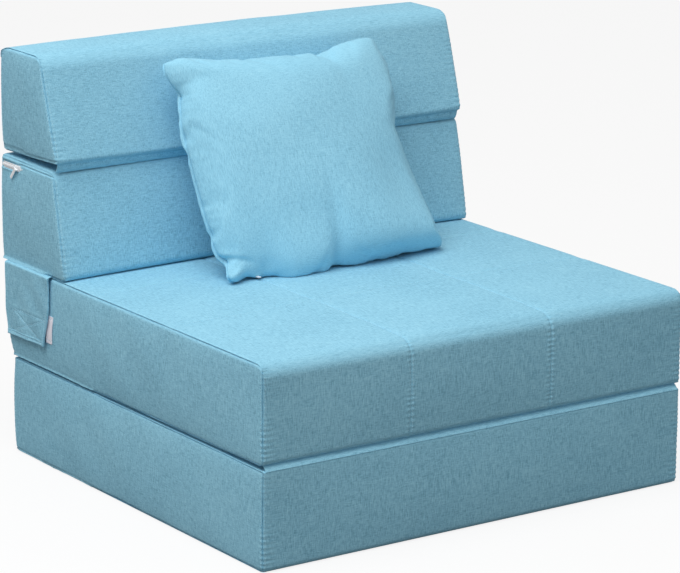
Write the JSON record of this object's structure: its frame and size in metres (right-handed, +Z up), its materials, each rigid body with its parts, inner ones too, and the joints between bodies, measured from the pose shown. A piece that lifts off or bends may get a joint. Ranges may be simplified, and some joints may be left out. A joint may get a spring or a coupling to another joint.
{
  "type": "folding chair bed",
  "caption": "Armless upholstered foam chair that unfolds into a single bed: stacked slabs joined by cloth folds, a folded two-piece back, side straps and a loose pillow.",
  "frame": {"origin": "on the floor, under the middle of the base slab", "axes": "+Z up, -Y towards the front of the seat, +X to the right as seen from the front; left and right in the names are as seen from the front"},
  "size_m": [0.7634, 0.7305, 0.6373],
  "materials": {
    "cover_cloth": "matte brushed cloth, pale blue",
    "pillow_cloth": "matte brushed cloth, pale blue",
    "strap_cloth": "matte doubled cloth, pale blue",
    "foam": "cut foam, cream",
    "filling": "loose fibre, white",
    "zip_tape": "woven tape with coil, white",
    "zip_plastic": "painted, white",
    "hook_and_loop": "napped tape, pale blue",
    "label_cloth": "smooth woven tape, white, bare"
  },
  "bodies": {
    "base": {"base_cover": "cover_cloth", "base_foam_core": "foam", "base_zip": "zip_tape", "seat_fold_strip": "cover_cloth"},
    "seat": {"seat_cover": "cover_cloth", "seat_foam_core": "foam", "seat_zip": "zip_tape", "back_fold_strip": "cover_cloth", "blank_label": "label_cloth", "left_loop_patch": "hook_and_loop", "right_loop_patch": "hook_and_loop"},
    "lower_back": {"lower_back_cover": "cover_cloth", "lower_back_foam_core": "foam", "lower_back_zip": "zip_tape", "head_fold_strip": "cover_cloth"},
    "upper_back": {"upper_back_cover": "cover_cloth", "upper_back_foam_core": "foam", "upper_back_zip": "zip_tape"},
    "left_strap": {"left_strap": "strap_cloth", "left_hook_patch": "hook_and_loop"},
    "right_strap": {"right_strap": "strap_cloth", "right_hook_patch": "hook_and_loop"},
    "pillow": {"pillow_cover": "pillow_cloth", "pillow_filling": "filling", "pillow_zip": "zip_tape"},
    "base_slider": {"base_zip_slider": "zip_plastic"},
    "base_pull": {"base_zip_pull": "zip_plastic"},
    "seat_slider": {"seat_zip_slider": "zip_plastic"},
    "seat_pull": {"seat_zip_pull": "zip_plastic"},
    "lower_back_slider": {"lower_back_zip_slider": "zip_plastic"},
    "lower_back_pull": {"lower_back_zip_pull": "zip_plastic"},
    "upper_back_slider": {"upper_back_zip_slider": "zip_plastic"},
    "upper_back_pull": {"upper_back_zip_pull": "zip_plastic"},
    "pillow_slider": {"pillow_zip_slider": "zip_plastic"},
    "pillow_pull": {"pillow_zip_pull": "zip_plastic"}
  },
  "joints": [
    {"name": "seat_fold", "type": "hinge", "parent": "base", "child": "seat", "pos_m": [0, -0.3515, 0.15165], "axis": [1, 0, 0], "range_deg": [0, 180], "deforming": ["seat_fold_strip"]},
    {"name": "back_fold", "type": "hinge", "parent": "seat", "child": "lower_back", "pos_m": [0, 0.38, 0.30299], "axis": [-1, 0, 0], "range_deg": [0, 180], "deforming": ["back_fold_strip"]},
    {"name": "head_fold", "type": "hinge", "parent": "lower_back", "child": "upper_back", "pos_m": [0, 0.2055, 0.47128], "axis": [1, 0, 0], "range_deg": [0, 180], "deforming": ["head_fold_strip"]},
    {"name": "pillow_lift", "type": "slide", "parent": "seat", "child": "pillow", "axis": [0, -0.35, 0.9367], "range_m": [0, 0.5]},
    {"name": "left_strap_peel", "type": "hinge", "parent": "lower_back", "child": "left_strap", "pos_m": [-0.37422, 0.291, 0.30605], "axis": [0, 1, 0], "range_deg": [0, 100]},
    {"name": "right_strap_peel", "type": "hinge", "parent": "lower_back", "child": "right_strap", "pos_m": [0.37422, 0.291, 0.30605], "axis": [0, -1, 0], "range_deg": [0, 100]},
    {"name": "base_zip_slide", "type": "slide", "parent": "base", "child": "base_slider", "axis": [0, 1, 0], "range_m": [0, 0.209]},
    {"name": "base_pull_swing", "type": "hinge", "parent": "base_slider", "child": "base_pull", "pos_m": [0.3787, 0.125, 0.0125], "axis": [0, -0.342, -0.9397], "range_deg": [0, 150]},
    {"name": "seat_zip_slide", "type": "slide", "parent": "seat", "child": "seat_slider", "axis": [0, 1, 0], "range_m": [0, 0.209]},
    {"name": "seat_pull_swing", "type": "hinge", "parent": "seat_slider", "child": "seat_pull", "pos_m": [0.3787, 0.125, 0.1678], "axis": [0, -0.342, -0.9397], "range_deg": [0, 150]},
    {"name": "lower_back_zip_slide", "type": "slide", "parent": "lower_back", "child": "lower_back_slider", "axis": [0, 1, 0], "range_m": [0, 0.039]},
    {"name": "lower_back_pull_swing", "type": "hinge", "parent": "lower_back_slider", "child": "lower_back_pull", "pos_m": [-0.3787, 0.324, 0.45078], "axis": [0, 0.766, 0.6428], "range_deg": [0, 150]},
    {"name": "upper_back_zip_slide", "type": "slide", "parent": "upper_back", "child": "upper_back_slider", "axis": [0, 1, 0], "range_m": [0, 0.039]},
    {"name": "upper_back_pull_swing", "type": "hinge", "parent": "upper_back_slider", "child": "upper_back_pull", "pos_m": [0.3787, 0.32, 0.49178], "axis": [0, -0.342, -0.9397], "range_deg": [0, 150]},
    {"name": "pillow_zip_slide", "type": "slide", "parent": "pillow", "child": "pillow_slider", "axis": [1, 0, 0], "range_m": [0, 0.28]},
    {"name": "pillow_pull_swing", "type": "hinge", "parent": "pillow_slider", "child": "pillow_pull", "pos_m": [-0.132, 0.0481, 0.31062], "axis": [-1, 0, 0], "range_deg": [0, 25]}
  ],
  "couplings": [
    {"joint": "head_fold", "follows": "back_fold", "ratio": 1}
  ]
}
